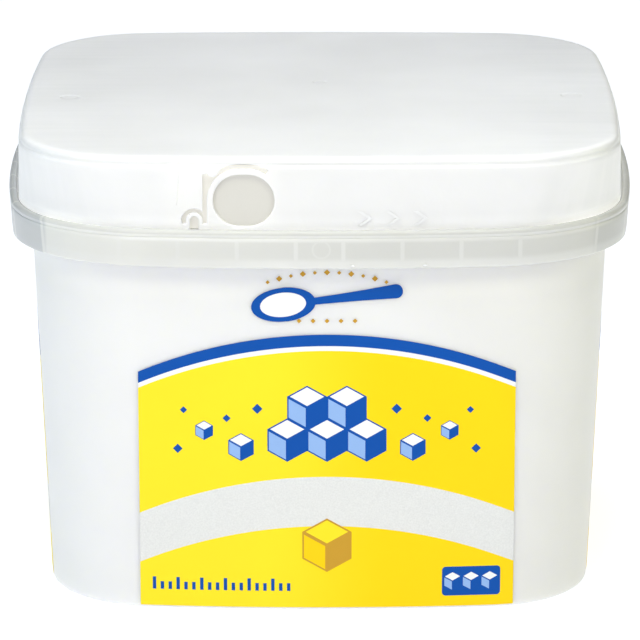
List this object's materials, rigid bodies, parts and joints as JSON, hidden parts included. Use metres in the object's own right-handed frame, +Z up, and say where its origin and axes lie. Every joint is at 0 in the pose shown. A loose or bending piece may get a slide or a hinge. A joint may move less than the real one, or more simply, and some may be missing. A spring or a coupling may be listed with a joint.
{
  "type": "tub of sugar",
  "caption": "Square plastic tub of granulated sugar, shut, with round corners, a ribbed collar, a press-on lid with a tear-off pull ring and a printed panel on each side.",
  "frame": {"origin": "middle of the base, on the surface the tub stands on", "axes": "+Z up, -Y towards the front with the pull ring, +X to the right of someone facing the front"},
  "size_m": [0.157, 0.157, 0.1162],
  "materials": {
    "natural_tub": "satin translucent natural polypropylene",
    "white_lid": "satin white polypropylene",
    "print_blue": "satin blue print on the wall",
    "print_lemon": "satin lemon yellow print on the wall",
    "print_golden": "satin golden yellow print on the wall",
    "print_white": "satin white print with a fine sugar grain"
  },
  "bodies": {
    "root": {"tub": "natural_tub", "lid": "white_lid", "print_front_stripe": "print_blue", "print_front_upper_field": "print_lemon", "print_front_ribbon": "print_white", "print_front_lower_field": "print_golden", "print_right_stripe": "print_blue", "print_right_upper_field": "print_lemon", "print_right_ribbon": "print_white", "print_right_lower_field": "print_golden", "print_back_stripe": "print_blue", "print_back_upper_field": "print_lemon", "print_back_ribbon": "print_white", "print_back_lower_field": "print_golden", "print_left_stripe": "print_blue", "print_left_upper_field": "print_lemon", "print_left_ribbon": "print_white", "print_left_lower_field": "print_golden"}
  },
  "joints": []
}
